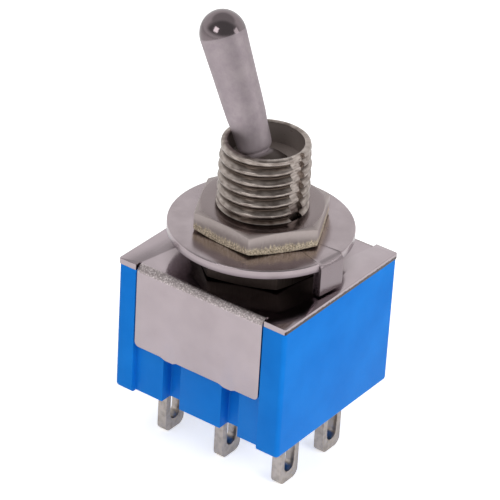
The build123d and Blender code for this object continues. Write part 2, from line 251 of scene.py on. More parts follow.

# %% Tones of the bracket
# The fold's grain is partly real tone, and its brightest specks are painted glints.
grain_and_glints = ramp(tree, fold_grain, (0.45, "#a49999"), (0.66, "#ded4d4"))
sheet_tone = shader.inputs["Base Color"].links[0].from_socket
folded_tone = mix_tones(tree, fold, sheet_tone, grain_and_glints)
at_edge = calc(tree, "GREATER_THAN", sideways, edge_place)
ragged = calc(tree, "MULTIPLY_ADD", fold_grain, shear_ragged, xyz["Z"])
sheared = fade(tree, ragged, (shear_line, shear_line - shear_fade))
torn_edge = calc(tree, "MULTIPLY", at_edge, sheared)
edge_tone = mix_tones(tree, torn_edge, folded_tone, linear("#443b37"))
# Round the nut, under the ring, the plate's colour is painted dark, as shade.
flat = add(tree, "ShaderNodeCombineXYZ", {}, {"X": xyz["X"], "Y": xyz["Y"]}).outputs[0]
reach = add(tree, "ShaderNodeVectorMath", {"operation": "LENGTH"}, {0: flat}).outputs["Value"]
painted_shade = fade(tree, reach, (shade_reach, shade_full), (0.0, shade_share), smooth=True)
shaded = mix_tones(tree, painted_shade, edge_tone, linear("#4a403b"))
tree.links.new(shaded, shader.inputs["Base Color"])
print("bracket finish:", len(tree.nodes), "nodes")

# %% [markdown]
# ## Nickel on turned brass
# The lever is turned and barrel-plated, so it is satin, with faint clouds and fine specks. Its dome is polished,
# and its colour there is darkened as a painted dark reflection. Its foot is rubbed dull in the bushing's mouth, and
# below that, down in the bore, the waist and the ball are painted dark as shade.
# The bushing is the same brass, but its thread has a worn bright crest, scuffed round the turn, and a brown tarnish
# down in the groove. The groove attribute that the thread's own nodes store says where that tarnish goes, and the
# bore attribute marks the mouth, which is dull like the handle's foot.

# %% Plated brass for the lever
speck_size = 0.5 * mm
mottle_size = 1.1 * mm
lean = radians(23.0)
pivot_height, dome_base = 5.75, 9.7
axis_start = pivot_height * cos(lean)
bore_shade_line, bore_shade_full, rub_full, rub_end, dome_line = 1.85, 1.6, 2.0, 3.6, 0.1
rubbed_metallic, dome_roughness = 0.35, 0.14

lever_nickel, tree, shader, place = start_material("satin_nickel_on_turned_brass", "#b8acaf", 1.0, 0.34)
mottle = noise(tree, place, mottle_size, 8.0, 0.75)
tone = ramp(tree, mottle, (0.3, "#a0949a"), (0.62, "#b1a5a9"))
gloss = fade(tree, mottle, (0.3, 0.7), (0.52, 0.46))
along = add(tree, "ShaderNodeVectorMath", {"operation": "DOT_PRODUCT"}, {
    0: place, 1: (-sin(lean), 0.0, cos(lean))}).outputs["Value"]
on_dome = fade(tree, along, ((axis_start + dome_base) * mm, (axis_start + dome_base + dome_line) * mm))
# Down in the bore the waist and the ball are painted dark, as shade.
in_bore = fade(tree, along, ((axis_start + bore_shade_line) * mm, (axis_start + bore_shade_full) * mm))
bore_painted_shade = mix_tones(tree, in_bore, tone, linear("#3f3531"))
# The dome's colour is darkened, a painted dark reflection.
dome_painted_dark = mix_tones(tree, on_dome, bore_painted_shade, linear("#82777a"))
tree.links.new(dome_painted_dark, shader.inputs["Base Color"])
rubbed = fade(
    tree, along, ((axis_start + rub_full) * mm, (axis_start + rub_end) * mm), (rubbed_metallic, 1.0),
    smooth=True)
tree.links.new(rubbed, shader.inputs["Metallic"])
dome_gloss = add(tree, "ShaderNodeMix", {}, {"Factor": on_dome, 2: gloss, 3: dome_roughness})
tree.links.new(dome_gloss.outputs[0], shader.inputs["Roughness"])
specks = noise(tree, place, speck_size, 6.0)
bump = add(tree, "ShaderNodeBump", {}, {"Height": specks, "Strength": 0.1, "Distance": 0.03 * mm})
tree.links.new(bump.outputs["Normal"], shader.inputs["Normal"])
print("made", lever_nickel.name)

# %% Worn thread on the bushing
scuff_size, scuff_draw = 0.15 * mm, 0.75 * mm
bore_metallic = 0.45

thread_nickel, tree, shader, place = start_material("worn_nickel_on_threaded_brass", "#b6a9a8", 1.0, 0.3)
groove = add(tree, "ShaderNodeAttribute", {"attribute_name": "groove"}, {}).outputs["Fac"]
xyz = add(tree, "ShaderNodeSeparateXYZ", {}, {0: place}).outputs
turn = calc(tree, "ARCTAN2", xyz["Y"], xyz["X"])
round_way = calc(tree, "MULTIPLY", turn, scuff_draw)
unrolled = add(tree, "ShaderNodeCombineXYZ", {}, {"X": round_way, "Y": xyz["Z"]}).outputs[0]
scuffs = noise(tree, unrolled, scuff_size, 4.0)
crest = ramp(tree, scuffs, (0.36, "#867b75"), (0.64, "#b6aba4"))
depth = fade(tree, groove, (0.5, 0.95))
tarnish = mix_tones(tree, depth, crest, linear("#4f443d"))
bore = add(tree, "ShaderNodeAttribute", {"attribute_name": "bore"}, {}).outputs["Fac"]
tone = mix_tones(tree, bore, tarnish, linear("#948984"))
tree.links.new(tone, shader.inputs["Base Color"])
bare = fade(tree, bore, (0.0, 1.0), (1.0, bore_metallic))
tree.links.new(bare, shader.inputs["Metallic"])
gloss = fade(tree, scuffs, (0.0, 1.0), (0.22, 0.4))
tree.links.new(gloss, shader.inputs["Roughness"])
bump = add(tree, "ShaderNodeBump", {}, {"Height": scuffs, "Strength": 0.3, "Distance": 0.03 * mm})
tree.links.new(bump.outputs["Normal"], shader.inputs["Normal"])
print("made", thread_nickel.name)

# %% [markdown]
# ## Nickel on blanked steel nuts
# The nuts are punched out of plate. The punch leaves each side smooth with upright drag marks near the face it
# enters, and rough torn metal further down, a little golden, with a grain whose brightest specks are painted glints.
# The faces and the bore get a darker colour than the sides, a painted shade.
# Each nut stores what is side and how far a point lies from its torn end, so the same finish fits both nuts.
# Below the ring the colour is painted dark as shade, which makes the lower nut dark.

# %% Blanked and plated nut
drag_width = 0.12 * mm
tear_size = 0.1 * mm
drag_stretch = 0.08
shade_line = 2.2 * mm
side_metallic, torn_metallic = 0.65, -0.25

nut_nickel, tree, shader, place = start_material("nickel_on_blanked_steel", "#b5a8a6", 1.0, 0.2)
side = add(tree, "ShaderNodeAttribute", {"attribute_name": "side"}, {}).outputs["Fac"]
rise = add(tree, "ShaderNodeAttribute", {"attribute_name": "rise"}, {}).outputs["Fac"]
upright = add(tree, "ShaderNodeMapping", {}, {"Vector": place, "Scale": (1.0, 1.0, drag_stretch)})
drag = noise(tree, upright.outputs["Vector"], drag_width, 2.0)
tear = noise(tree, place, tear_size, 4.0)
ragged = calc(tree, "MULTIPLY_ADD", drag, 0.5, rise)
torn = fade(tree, ragged, (0.56, 0.7), (1.0, 0.0))
torn_side = calc(tree, "MULTIPLY", torn, side)
# The tear's grain is partly real tone, and its brightest specks are painted glints.
grain_and_glints = ramp(tree, tear, (0.36, "#ab9a80"), (0.62, "#fff1d8"))
# Faces and bore get a darker tone than the sides: a painted shade.
plain = mix_tones(tree, side, linear("#8c8080"), linear("#b0a4a1"))
tone = mix_tones(tree, torn_side, plain, grain_and_glints)
height = add(tree, "ShaderNodeSeparateXYZ", {}, {0: place}).outputs["Z"]
# Below the ring the colour is painted dark, as shade.
shaded_under_ring = calc(tree, "LESS_THAN", height, shade_line)
shaded = mix_tones(tree, shaded_under_ring, tone, linear("#463d38"))
tree.links.new(shaded, shader.inputs["Base Color"])
dragged = fade(tree, side, (0.0, 1.0), (1.0, side_metallic))
oxide = calc(tree, "MULTIPLY_ADD", torn_side, torn_metallic, dragged)
tree.links.new(oxide, shader.inputs["Metallic"])
relief = add(tree, "ShaderNodeMix", {}, {"Factor": torn_side, 2: drag, 3: tear})
relief_strength = fade(tree, side, (0.0, 1.0), (0.1, 0.5))
gloss = fade(tree, side, (0.0, 1.0), (0.2, 0.42))
tree.links.new(gloss, shader.inputs["Roughness"])
bump = add(tree, "ShaderNodeBump", {}, {
    "Height": relief.outputs[0], "Strength": relief_strength, "Distance": 0.09 * mm})
tree.links.new(bump.outputs["Normal"], shader.inputs["Normal"])
print("made", nut_nickel.name)

# %% [markdown]
# ## Lugs and the inner pieces
# The solder lugs are silver-plated brass, a little tarnished. Inside, where nobody looks until the switch is
# opened, are white nylon, spring steel and silver-faced contacts; each gets its own simple finish.

# %% Silver plate on the lugs
stamp_size = 0.35 * mm

lug_silver, tree, shader, place = start_material("silver_plate_on_stamped_brass", "#aea49c", 1.0, 0.32)
stamping = noise(tree, place, stamp_size, 4.0)
tone = ramp(tree, stamping, (0.3, "#a0978f"), (0.6, "#bcb2aa"))
tree.links.new(tone, shader.inputs["Base Color"])
gloss = fade(tree, stamping, (0.0, 1.0), (0.24, 0.44))
tree.links.new(gloss, shader.inputs["Roughness"])
bump = add(tree, "ShaderNodeBump", {}, {"Height": stamping, "Strength": 0.15, "Distance": 0.03 * mm})
tree.links.new(bump.outputs["Normal"], shader.inputs["Normal"])
print("made", lug_silver.name)


# %% Finishes of the hidden pieces
def inner_finish(name, pale, deep, metallic, roughness, grain):
    """A plain finish with a slight change of tone at the size of its grain."""
    material, tree, shader, place = start_material(name, pale, metallic, roughness)
    cloud = noise(tree, place, grain, 3.0)
    tone = ramp(tree, cloud, (0.3, deep), (0.7, pale))
    tree.links.new(tone, shader.inputs["Base Color"])
    return material


nylon = inner_finish("moulded_white_nylon", "#e6e3da", "#dcd8cd", 0.0, 0.45, 1.2 * mm)
spring_wire = inner_finish("drawn_spring_steel", "#b2b0ae", "#9a9896", 1.0, 0.3, 0.1 * mm)
contact_alloy = inner_finish("silver_faced_copper_alloy", "#d3c3ae", "#bfa88c", 1.0, 0.28, 0.6 * mm)
inner_finishes = {
    nylon: ["actuator", "plunger_front", "plunger_rear"],
    spring_wire: ["pivot_pin"],
    contact_alloy: ["rocker_front", "rocker_rear"],
}
for finish, names in inner_finishes.items():
    for name in names:
        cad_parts[name].data.materials.clear()
        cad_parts[name].data.materials.append(finish)
print("inner pieces:", sum(len(names) for names in inner_finishes.values()))

# %% [markdown]
# ## Making round pieces
# A turned or stamped round piece is a skin over columns of points: each column is the piece's outline at one angle,
# and neighbouring columns are joined with four-sided faces. Where the outline changes with the angle, as on a
# hexagon, each column simply gets other points.


# %% Skin, bake and hand-over helpers
def skin(name, columns, closed_outline, attributes):
    """A mesh object over columns of points in millimetres, with attributes that hold one number for each point."""
    rows = len(columns[0])
    points = [Vector(point) * mm for column in columns for point in column]
    faces = []
    for i in range(len(columns)):
        here = i * rows
        there = (i + 1) % len(columns) * rows
        for j in range(rows if closed_outline else rows - 1):
            k = (j + 1) % rows
            faces.append((here + j, there + j, there + k, here + k))
    mesh = bpy.data.meshes.new(name)
    mesh.from_pydata(points, [], faces)
    for attribute, values in attributes.items():
        layer = mesh.attributes.new(attribute, "FLOAT", "POINT")
        layer.data.foreach_set("value", [value for column in values for value in column])
    shape = bmesh.new()
    shape.from_mesh(mesh)
    bmesh.ops.remove_doubles(shape, verts=shape.verts, dist=0.0005 * mm)
    bmesh.ops.recalc_face_normals(shape, faces=shape.faces)
    shape.to_mesh(mesh)
    shape.free()
    piece = bpy.data.objects.new(name, mesh)
    bpy.context.collection.objects.link(piece)
    return piece


def bake(piece, sharp_angle):
    """Turns the modifiers' result into the piece's own plain mesh, smooth but for edges over the angle."""
    seen = piece.evaluated_get(bpy.context.evaluated_depsgraph_get())
    mesh = bpy.data.meshes.new_from_object(seen)
    piece.modifiers.clear()
    piece.data = mesh
    mesh.shade_smooth()
    mesh.set_sharp_from_angle(angle=radians(sharp_angle))
    return piece


def break_edges(piece, width, angle):
    """Adds a narrow rounded bevel to every edge sharper than the angle."""
    bevel = piece.modifiers.new("broken_edges", "BEVEL")
    bevel.width = width * mm
    bevel.segments = 2
    bevel.limit_method = "ANGLE"
    bevel.angle_limit = radians(angle)
    return piece


def hand_over(piece, body, slot, finish, *nodes):
    """Gives a piece its finish and its body, and hides the solids that it stands for. The slot is not used."""
    if finish:
        piece.data.materials.clear()
        piece.data.materials.append(finish)
    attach(piece, body)
    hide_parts(*nodes)
    print(piece.name, "has", len(piece.data.polygons), "faces")


# %% [markdown]
# ## Threaded bushing
# The thread is the rule that makes this piece: the radius rises and falls once for every pitch of height,
# and the wave climbs one pitch for each turn. Drawing a helix by hand would take thousands of numbers, so
# Geometry Nodes do it: they move a plain turned wall in and out, and then cut the keyway flat through the ridges.

# %% Wall of the bushing
thread_radius = 3.0
engaged_radius = 2.75
thread_start, thread_end = 4.02, 8.22
groove_start = 4.285
bushing_top = 8.5
rim_round, rim_taper, taper_start = 0.14, 0.15, 6.8
mouth_radius = 2.45
key_half_width, key_floor, key_angle = 0.5, 2.6, radians(-7.0)
flange_radius, flange_bottom, flange_top = 3.9, -1.0, -0.4
cavity_radius, run_out, taper_bend = 2.3, 0.15, 1.3
seat_radius, throat_radius = 2.0, 1.6

throat_level = pivot_height + sqrt(seat_radius**2 - throat_radius**2)
thread_rows = 150
rim_arc = [radians(10 * i) for i in range(10)]
rim_centre = thread_radius - rim_taper - rim_round
outline = [(cavity_radius, flange_bottom), (flange_radius, flange_bottom), (flange_radius, flange_top),
           (engaged_radius, flange_top), (engaged_radius, thread_start)]
outline_thread = [0.0] * len(outline)
for i in range(thread_rows + 1):
    height = thread_start + (thread_end - thread_start) * i / thread_rows
    rise = max(0.0, (height - taper_start) / (bushing_top - taper_start))
    outline.append((thread_radius - rim_taper * rise**taper_bend, height))
    outline_thread.append(min(1.0, (height - thread_start) / run_out, (thread_end - height) / run_out))
outline += [(rim_centre + rim_round * cos(a), bushing_top - rim_round + rim_round * sin(a)) for a in rim_arc]
outline += [(mouth_radius + 0.06, bushing_top), (mouth_radius, bushing_top - 0.05)]
outline_bore = [0.0] * len(outline)
outline += [(mouth_radius, bushing_top - 0.12), (mouth_radius, throat_level + 0.1)]
outline += [(throat_radius, throat_level)]
outline += [(sqrt(seat_radius**2 - h**2), pivot_height + h) for h in (1.0, 0.75, 0.5)]
outline += [(cavity_radius, pivot_height + 0.5)]
outline_thread += [0.0] * (len(outline) - len(outline_thread))
outline_bore += [1.0] * (len(outline) - len(outline_bore))
print("bushing outline:", len(outline), "points")

# %% Plain wall round the bushing
wall_columns, key_nudge = 270, 0.002

key_edges = [asin(key_half_width / r) for r in (2.68, 2.74, 2.8, 2.87, 2.93, 3.0)]
angles = [2 * pi * i / wall_columns for i in range(wall_columns)]
angles += [(key_angle + side * (edge + nudge)) % (2 * pi)
           for side in (-1, 1) for edge in key_edges for nudge in (-key_nudge, key_nudge)]
angles.sort()
columns = [[(r * cos(a), r * sin(a), z) for r, z in outline] for a in angles]
bushing = skin("threaded_bushing", columns, True, {
    "thread_share": [outline_thread] * len(angles), "bore": [outline_bore] * len(angles)})
print("plain wall:", len(bushing.data.vertices), "points")

# %% Nodes that cut the thread
thread_tree = bpy.data.node_groups.new("thread_and_keyway", "GeometryNodeTree")
thread_inputs = ("Pitch", "Start", "Depth", "Dents", "Key half width", "Key floor", "Key angle")
thread_tree.interface.new_socket("Geometry", in_out="INPUT", socket_type="NodeSocketGeometry")
for name in thread_inputs:
    thread_tree.interface.new_socket(name, in_out="INPUT", socket_type="NodeSocketFloat")
thread_tree.interface.new_socket("Finish", in_out="INPUT", socket_type="NodeSocketMaterial")
thread_tree.interface.new_socket("Geometry", in_out="OUTPUT", socket_type="NodeSocketGeometry")
given = add(thread_tree, "NodeGroupInput", {}, {}).outputs
position = add(thread_tree, "GeometryNodeInputPosition", {}, {}).outputs["Position"]
xyz = add(thread_tree, "ShaderNodeSeparateXYZ", {}, {0: position}).outputs
share = add(thread_tree, "GeometryNodeInputNamedAttribute", {"data_type": "FLOAT"}, {
    "Name": "thread_share"}).outputs[0]
turn = calc(thread_tree, "ARCTAN2", xyz["Y"], xyz["X"])
height = calc(thread_tree, "SUBTRACT", xyz["Z"], given["Start"])
climb = calc(thread_tree, "DIVIDE", height, given["Pitch"])
phase = calc(thread_tree, "MULTIPLY_ADD", turn, -0.5 / pi, climb)
zigzag = calc(thread_tree, "PINGPONG", phase, 0.5)
valley = fade(thread_tree, zigzag, (0.46, 0.03), smooth=True)
groove = calc(thread_tree, "MULTIPLY", valley, share)
pitting = noise(thread_tree, position, 0.45 * mm, 2.0)
dent = calc(thread_tree, "MULTIPLY", pitting, given["Dents"])
worn = calc(thread_tree, "MULTIPLY", dent, share)
cut = calc(thread_tree, "MULTIPLY_ADD", groove, given["Depth"], worn)
flat = add(thread_tree, "ShaderNodeCombineXYZ", {}, {"X": xyz["X"], "Y": xyz["Y"]}).outputs[0]
outward = add(thread_tree, "ShaderNodeVectorMath", {"operation": "NORMALIZE"}, {0: flat}).outputs[0]
inward = calc(thread_tree, "MULTIPLY", cut, -1.0)
move = add(thread_tree, "ShaderNodeVectorMath", {"operation": "SCALE"}, {0: outward, "Scale": inward}).outputs[0]
threaded = add(thread_tree, "GeometryNodeSetPosition", {}, {"Geometry": given["Geometry"], "Offset": move})
print("thread:", len(thread_tree.nodes), "nodes")

# %% Nodes that cut the keyway
position = add(thread_tree, "GeometryNodeInputPosition", {}, {}).outputs["Position"]
back = calc(thread_tree, "MULTIPLY", given["Key angle"], -1.0)
keyed = add(thread_tree, "ShaderNodeVectorRotate", {"rotation_type": "Z_AXIS"}, {"Vector": position, "Angle": back})
xyz = add(thread_tree, "ShaderNodeSeparateXYZ", {}, {0: keyed.outputs[0]}).outputs
aside = calc(thread_tree, "ABSOLUTE", xyz["Y"])
between = calc(thread_tree, "LESS_THAN", aside, given["Key half width"])
above = calc(thread_tree, "GREATER_THAN", xyz["Z"], 0.0)
in_slot = calc(thread_tree, "MULTIPLY", between, above)
floor_x = calc(thread_tree, "MINIMUM", xyz["X"], given["Key floor"])
slot_x = add(thread_tree, "GeometryNodeSwitch", {"input_type": "FLOAT"}, {
    "Switch": in_slot, "False": xyz["X"], "True": floor_x}).outputs[0]
cut_place = add(thread_tree, "ShaderNodeCombineXYZ", {}, {"X": slot_x, "Y": xyz["Y"], "Z": xyz["Z"]}).outputs[0]
restored = add(thread_tree, "ShaderNodeVectorRotate", {"rotation_type": "Z_AXIS"}, {
    "Vector": cut_place, "Angle": given["Key angle"]}).outputs[0]
clear = calc(thread_tree, "SUBTRACT", 1.0, in_slot)
tarnished = calc(thread_tree, "MULTIPLY", groove, clear)
noted = add(thread_tree, "GeometryNodeStoreNamedAttribute", {"data_type": "FLOAT", "domain": "POINT"}, {
    "Geometry": threaded.outputs[0], "Name": "groove", "Value": tarnished})
slotted = add(thread_tree, "GeometryNodeSetPosition", {}, {"Geometry": noted.outputs[0], "Position": restored})
real = add(thread_tree, "GeometryNodeRealizeInstances", {}, {"Geometry": slotted.outputs[0]})
plated = add(thread_tree, "GeometryNodeSetMaterial", {}, {"Geometry": real.outputs[0], "Material": given["Finish"]})
add(thread_tree, "NodeGroupOutput", {}, {"Geometry": plated.outputs[0]})
print("thread and keyway:", len(thread_tree.nodes), "nodes")


# %% Run the thread on the bushing
def run_tree(piece, tree, values):
    """Adds a node tree to a piece and sets its inputs, found by name, through their identifiers."""
    modifier = piece.modifiers.new(tree.name, "NODES")
    modifier.node_group = tree
    for item in tree.interface.items_tree:
        if item.in_out == "INPUT" and item.name in values:
            modifier[item.identifier] = values[item.name]
    return piece


run_tree(bushing, thread_tree, {
    "Pitch": 0.75 * mm, "Start": groove_start * mm, "Depth": 0.27 * mm, "Dents": 0.06 * mm,
    "Key half width": key_half_width * mm, "Key floor": key_floor * mm, "Key angle": key_angle,
    "Finish": thread_nickel})
bake(bushing, 50)
hand_over(bushing, "switch_body", "nickel_turned", None, "bushing")

# %% [markdown]
# ## Lever
# The lever is a turned bat: a ball that pivots in the bushing, a waist, a handle that widens to its end and a dome.
# It is one outline spun round a leaning axis, with enough columns that its silhouette stays round.

# %% Turned lever
ball_radius, neck_radius, tail_radius, tail_ball, tail_reach = 1.95, 0.85, 0.3, 0.45, 2.9
dome_radius, dome_height = 1.5, 1.57
handle = [(1.0, 2.0), (1.08, 2.15), (1.12, 2.35), (1.15, 2.8), (1.18, 3.45), (1.27, 4.3), (1.33, 5.6), (1.38, 7.0),
          (1.45, 8.6), (1.485, 9.4), (1.492, 9.6)]
lever_columns = 144

tail_top = sqrt(tail_ball**2 - tail_radius**2)
bat = [(0.0, -tail_reach - tail_ball)]
bat += [(tail_ball * cos(a), -tail_reach + tail_ball * sin(a)) for a in (-1.1, -0.6, 0.0, 0.5)]
bat += [(tail_radius, tail_top - tail_reach), (tail_radius, -sqrt(ball_radius**2 - tail_radius**2))]
ball_turns = [-1.3 + 2.3 * i / 20 for i in range(21)]
bat += [(ball_radius * cos(a), ball_radius * sin(a)) for a in ball_turns]
bat += [(neck_radius, sqrt(ball_radius**2 - neck_radius**2)), (neck_radius, 1.9)]
bat += handle
dome_turns = [pi / 2 * i / 24 for i in range(24)]
bat += [(dome_radius * cos(a), dome_base + dome_height * sin(a)) for a in dome_turns]
bat += [(0.0, dome_base + dome_height)]

leaning = Matrix.Translation((0, 0, pivot_height)) @ Matrix.Rotation(-lean, 4, "Y")
columns = [[leaning @ Vector((r * cos(a), r * sin(a), t)) for r, t in bat]
           for a in [2 * pi * i / lever_columns for i in range(lever_columns)]]
lever = skin("bat_lever", columns, False, {})
bake(lever, 40)
hand_over(lever, "lever_arm", "nickel_turned", lever_nickel, "lever")

# %% [markdown]
# ## Nuts
# A hexagon nut is a hexagon outside, a circle inside and a cone over both faces, so the cone leaves a curved edge
# that dips towards each corner. Each column knows how far out its flat is, and the cone gives the height there.


# %% Hexagon nuts
nut_flats, nut_bore, nut_columns = 8.0, 2.77, 180
corner_fall = 0.15
chamfer_fall = corner_fall / (nut_flats / 2 / cos(pi / 6) - nut_flats / 2)


def hexagon_nut(name, base, top, corner_angle, torn_end):
    """A nut between two heights, with one corner at the angle; notes its sides and the way from its torn end."""
    columns, sides, rises = [], [], []
    bore_round, face_share = 0.2, 0.985
    for i in range(nut_columns):
        a = 2 * pi * i / nut_columns
        edge = nut_flats / 2 / cos((a % (pi / 3)) - pi / 6)
        face = nut_flats / 2 * face_share
        fall = (edge - face) * chamfer_fall
        outline = [(nut_bore, base + bore_round), (nut_bore, top - bore_round), (nut_bore + bore_round, top),
                   (face, top), (edge, top - fall), (edge, (top + base) / 2), (edge, base + fall),
                   (face, base), (nut_bore + bore_round, base)]
        across, along = cos(a + corner_angle), sin(a + corner_angle)
        columns.append([(r * across, r * along, z) for r, z in outline])
        sides.append([0.0, 0.0, 0.0, 0.0, 1.0, 1.0, 1.0, 0.0, 0.0])
        rises.append([abs(z - torn_end) / (top - base) for r, z in outline])
    nut = skin(name, columns, True, {"side": sides, "rise": rises})
    break_edges(nut, 0.05, 18)
    bake(nut, 35)
    return nut


lower_nut = hexagon_nut("lower_hexagon_nut", 0.0, 1.9, radians(-40.0), 1.9)
hand_over(lower_nut, "switch_body", "nickel_nut", nut_nickel, "lower_nut")
upper_nut = hexagon_nut("upper_hexagon_nut", 2.5, 4.0, radians(-4.0), 2.5)
hand_over(upper_nut, "switch_body", "nickel_nut", nut_nickel, "upper_nut")

# %% [markdown]
# ## Lock ring
# The ring is blanked from sheet, so its upper edge is drawn down a little and its lower edge is crisp.
# One tab is bent down to sit in a hole of the panel. In the columns that cross the tab, the outline goes on
# out, round the bend and down; in all others the same number of points runs down the ring's edge.

# %% Ring with its bent tab
ring_radius, ring_bottom, ring_top, ring_bore = 6.06, 1.9, 2.5, 3.1
tab_half, tab_reach, tab_foot, tab_bend = 1.05, 6.2, 0.15, 0.5
ring_sheet = ring_top - ring_bottom
edge_draw = 0.1

bend_turns = [pi / 2 * i / 8 for i in range(9)]
tab_path = [(tab_reach - tab_bend + tab_bend * sin(a), ring_top - tab_bend + tab_bend * cos(a)) for a in bend_turns]
tab_path += [(tab_reach, tab_foot + 0.05), (tab_reach - 0.05, tab_foot), (tab_reach - ring_sheet + 0.05, tab_foot),
             (tab_reach - ring_sheet, tab_foot + 0.05), (tab_reach - ring_sheet, ring_bottom)]
edge_path = [(ring_radius - edge_draw + edge_draw * sin(a), ring_top - edge_draw + edge_draw * cos(a))
             for a in bend_turns]
edge_path += [(ring_radius, ring_bottom + ring_sheet * s) for s in (0.7, 0.5, 0.3, 0.04)]
edge_path += [(ring_radius - 0.02, ring_bottom)]
tab_edge_angle = asin(tab_half / ring_radius)
tab_steps, rim_steps = 8, 240
columns = []
for i in range(rim_steps + 1):
    a = tab_edge_angle + (2 * pi - 2 * tab_edge_angle) * i / rim_steps
    rim = [(r * cos(a), r * sin(a), z) for r, z in edge_path]
    columns.append([(ring_bore * cos(a), ring_bore * sin(a), z) for z in (ring_bottom, ring_top)] + rim)
for i in range(tab_steps + 1):
    y = tab_half * (2 * i / tab_steps - 1)
    a = asin(y / ring_radius)
    tab = [(x, y, z) for x, z in tab_path]
    columns.append([(ring_bore * cos(a), ring_bore * sin(a), z) for z in (ring_bottom, ring_top)] + tab)
spin = Matrix.Rotation(key_angle, 4, "Z")
columns = [[spin @ Vector(point) for point in column] for column in columns]
ring = skin("tabbed_lock_ring", columns, True, {})
break_edges(ring, 0.04, 40)
bake(ring, 35)
hand_over(ring, "switch_body", "nickel_ring", ring_nickel, "lock_ring")

# %% [markdown]
# ## Bracket and case
# These two are nearly right in the solids, to the last slot. What a solid lacks is the broken edge that catches the
# light: a copy is merged, its flat faces are joined up again, and a narrow bevel runs along each edge.
# The case's upright corners are drawn tighter than in the solid. The flaps' lower edges get the dips that staking
# leaves over the case's slots: a few cuts across the bracket make room for them.


# %% Softened copies of solids
def softened(name, node, width, angle):
    """A copy of a solid's mesh with its triangles merged and its edges broken."""
    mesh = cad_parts[node].data.copy()
    shape = bmesh.new()
    shape.from_mesh(mesh)
    bmesh.ops.remove_doubles(shape, verts=shape.verts, dist=0.001 * mm)
    bmesh.ops.dissolve_limit(shape, angle_limit=radians(1.0), verts=shape.verts, edges=shape.edges)
    shape.to_mesh(mesh)
    shape.free()
    mesh.materials.clear()
    piece = bpy.data.objects.new(name, mesh)
    bpy.context.collection.objects.link(piece)
    break_edges(piece, width, angle)
    return piece


print("softened copies are ready to cut")

# %% Case with crisp corners
case = softened("moulded_case", "housing", 0.08, 40)
half_length, half_width, drawn_radius, crisp_radius = 6.6 * mm, 6.2 * mm, 0.7 * mm, 0.32 * mm
for vertex in case.data.vertices:
    x, y = vertex.co.x, vertex.co.y
    out = Vector((abs(x) - half_length + drawn_radius, abs(y) - half_width + drawn_radius))
    if min(out) >= -1e-7 and out.length > drawn_radius - crisp_radius:
        out = out.normalized() * (out.length - drawn_radius + crisp_radius)
        vertex.co.x = (half_length - crisp_radius + out.x) * (1 if x > 0 else -1)
        vertex.co.y = (half_width - crisp_radius + out.y) * (1 if y > 0 else -1)
bake(case, 35)
hand_over(case, "switch_body", "blue_case", blue_plastic, "housing")

# %% Bracket with staked flaps
stake_half, stake_slope, stake_fall, stake_push = 0.3 * mm, 0.35 * mm, 0.22 * mm, 0.1 * mm
slack = 0.01 * mm

bracket = softened("folded_bracket", "bracket", 0.06, 40)
shape = bmesh.new()
shape.from_mesh(bracket.data)
stake_cuts = (-stake_half - stake_slope, -stake_half, stake_half, stake_half + stake_slope)
for x in [middle + cut for middle in (-slot_place, slot_place) for cut in stake_cuts]:
    everything = shape.verts[:] + shape.edges[:] + shape.faces[:]
    bmesh.ops.bisect_plane(shape, geom=everything, plane_co=(x, 0, 0), plane_no=(1, 0, 0))
flap_bottom = min(vertex.co.z for vertex in shape.verts)
for vertex in shape.verts:
    if vertex.co.z < flap_bottom + slack and abs(abs(vertex.co.x) - slot_place) < stake_half + slack:
        vertex.co.z -= stake_fall
        vertex.co.y -= stake_push * (1 if vertex.co.y > 0 else -1)
shape.to_mesh(bracket.data)
shape.free()
bake(bracket, 35)
hand_over(bracket, "switch_body", "nickel_sheet", bracket_nickel, "bracket")

# %% [markdown]
# ## Solder lugs
# Six lugs stand in two rows of three. The outer ones are one stamping, turned half round on the left, and the
# middle ones another, so two softened blades are enough. Geometry Nodes set each pair along a line, front and rear.

# %% Nodes that repeat a lug
lug_tree = bpy.data.node_groups.new("lug_pair", "GeometryNodeTree")
lug_tree.interface.new_socket("Blade", in_out="INPUT", socket_type="NodeSocketObject")
lug_tree.interface.new_socket("Start", in_out="INPUT", socket_type="NodeSocketVector")
lug_tree.interface.new_socket("Step", in_out="INPUT", socket_type="NodeSocketVector")
lug_tree.interface.new_socket("Half turn", in_out="INPUT", socket_type="NodeSocketFloat")
lug_tree.interface.new_socket("Finish", in_out="INPUT", socket_type="NodeSocketMaterial")
lug_tree.interface.new_socket("Geometry", in_out="OUTPUT", socket_type="NodeSocketGeometry")
given = add(lug_tree, "NodeGroupInput", {}, {}).outputs
blade = add(lug_tree, "GeometryNodeObjectInfo", {}, {"Object": given["Blade"], "As Instance": True})
line = add(lug_tree, "GeometryNodeMeshLine", {}, {
    "Count": 2, "Start Location": given["Start"], "Offset": given["Step"]})
facing = add(lug_tree, "ShaderNodeCombineXYZ", {}, {"Z": given["Half turn"]})
lugs = add(lug_tree, "GeometryNodeInstanceOnPoints", {}, {
    "Points": line.outputs[0], "Instance": blade.outputs["Geometry"], "Rotation": facing.outputs[0]})
real = add(lug_tree, "GeometryNodeRealizeInstances", {}, {"Geometry": lugs.outputs[0]})
plated = add(lug_tree, "GeometryNodeSetMaterial", {}, {"Geometry": real.outputs[0], "Material": given["Finish"]})
add(lug_tree, "NodeGroupOutput", {}, {"Geometry": plated.outputs[0]})
print("lug tree:", len(lug_tree.nodes), "nodes")

